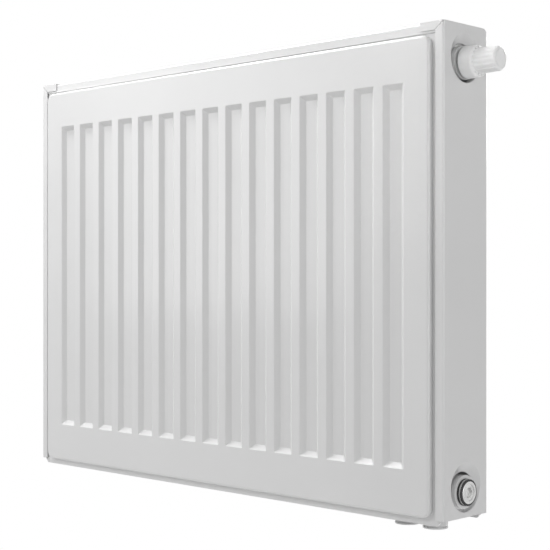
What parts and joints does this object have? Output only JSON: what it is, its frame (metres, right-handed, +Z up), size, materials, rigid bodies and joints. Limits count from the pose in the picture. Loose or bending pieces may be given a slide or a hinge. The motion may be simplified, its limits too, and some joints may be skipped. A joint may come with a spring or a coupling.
{
  "type": "panel radiator with built-in valve",
  "caption": "White steel panel radiator with ribbed front, top grille, side covers, built-in valve under a screw cap, end plugs, air vent and bottom pipe stubs.",
  "frame": {"origin": "centre of the wall plane that the rear faces of the hanging lugs touch, at half height of the panels", "axes": "+X along the length to the valve end, -Y towards the room, +Z up"},
  "size_m": [0.7148, 0.093, 0.509],
  "materials": {
    "white_paint": "semi-gloss white stove enamel",
    "white_plastic": "satin white moulded plastic",
    "grey_plastic": "matt grey moulded plastic",
    "nickel": "nickel plated",
    "brass": "turned brass",
    "steel": "ground stainless steel",
    "black_rubber": "matt black rubber"
  },
  "bodies": {
    "radiator": {"front_panel_face": "white_paint", "front_panel_back": "white_paint", "rear_panel_inner": "white_paint", "rear_panel_back": "white_paint", "convector": "white_paint", "top_grille": "white_paint", "left_side_cover": "white_paint", "right_side_cover": "white_paint", "valve_tee": "white_paint", "top_left_tee": "white_paint", "bottom_left_tee": "white_paint", "bottom_right_tee": "white_paint", "riser_pipe": "white_paint", "supply_stub": "white_paint", "return_stub": "white_paint", "stub_bracket": "white_paint", "hanging_lugs": "white_paint", "valve_cartridge": "nickel", "cartridge_seal": "black_rubber", "gland_nut": "brass", "gland_seal": "black_rubber", "return_spring": "steel", "vent_plug": "nickel", "vent_plug_seal": "black_rubber", "right_blind_plug": "nickel", "right_plug_seals": "black_rubber", "left_blind_plug": "nickel", "left_plug_seals": "black_rubber"},
    "pressure_pin": {"cap_pressure_pin": "white_plastic"},
    "cap": {"valve_cap": "white_plastic"},
    "spindle": {"valve_spindle": "steel", "valve_disc": "black_rubber"},
    "dial": {"preset_dial": "grey_plastic"},
    "bleeder": {"bleed_screw": "brass"},
    "nozzle": {"vent_nozzle": "white_plastic"}
  },
  "joints": [
    {"name": "cap_advance", "type": "slide", "parent": "radiator", "child": "pressure_pin", "axis": [1, 0, 0], "range_m": [-0.0025, 0]},
    {"name": "cap_turn", "type": "hinge", "parent": "pressure_pin", "child": "cap", "pos_m": [0.3285, -0.052, 0.2116], "axis": [1, 0, 0], "range_deg": [-600, 0]},
    {"name": "spindle_stroke", "type": "slide", "parent": "radiator", "child": "spindle", "axis": [1, 0, 0], "range_m": [-0.0025, 0], "deforming": ["return_spring"]},
    {"name": "preset_turn", "type": "hinge", "parent": "radiator", "child": "dial", "pos_m": [0.3285, -0.052, 0.2116], "axis": [1, 0, 0], "range_deg": [0, 300]},
    {"name": "bleed_turn", "type": "hinge", "parent": "radiator", "child": "bleeder", "pos_m": [-0.3285, -0.052, 0.2116], "axis": [-1, 0, 0], "range_deg": [0, 360]},
    {"name": "nozzle_swivel", "type": "hinge", "parent": "radiator", "child": "nozzle", "pos_m": [-0.3285, -0.052, 0.2116], "axis": [-1, 0, 0], "continuous": true}
  ],
  "couplings": [
    {"joint": "cap_turn", "follows": "cap_advance", "rad_per_m": 4188.8},
    {"joint": "spindle_stroke", "follows": "cap_advance", "ratio": 1}
  ]
}
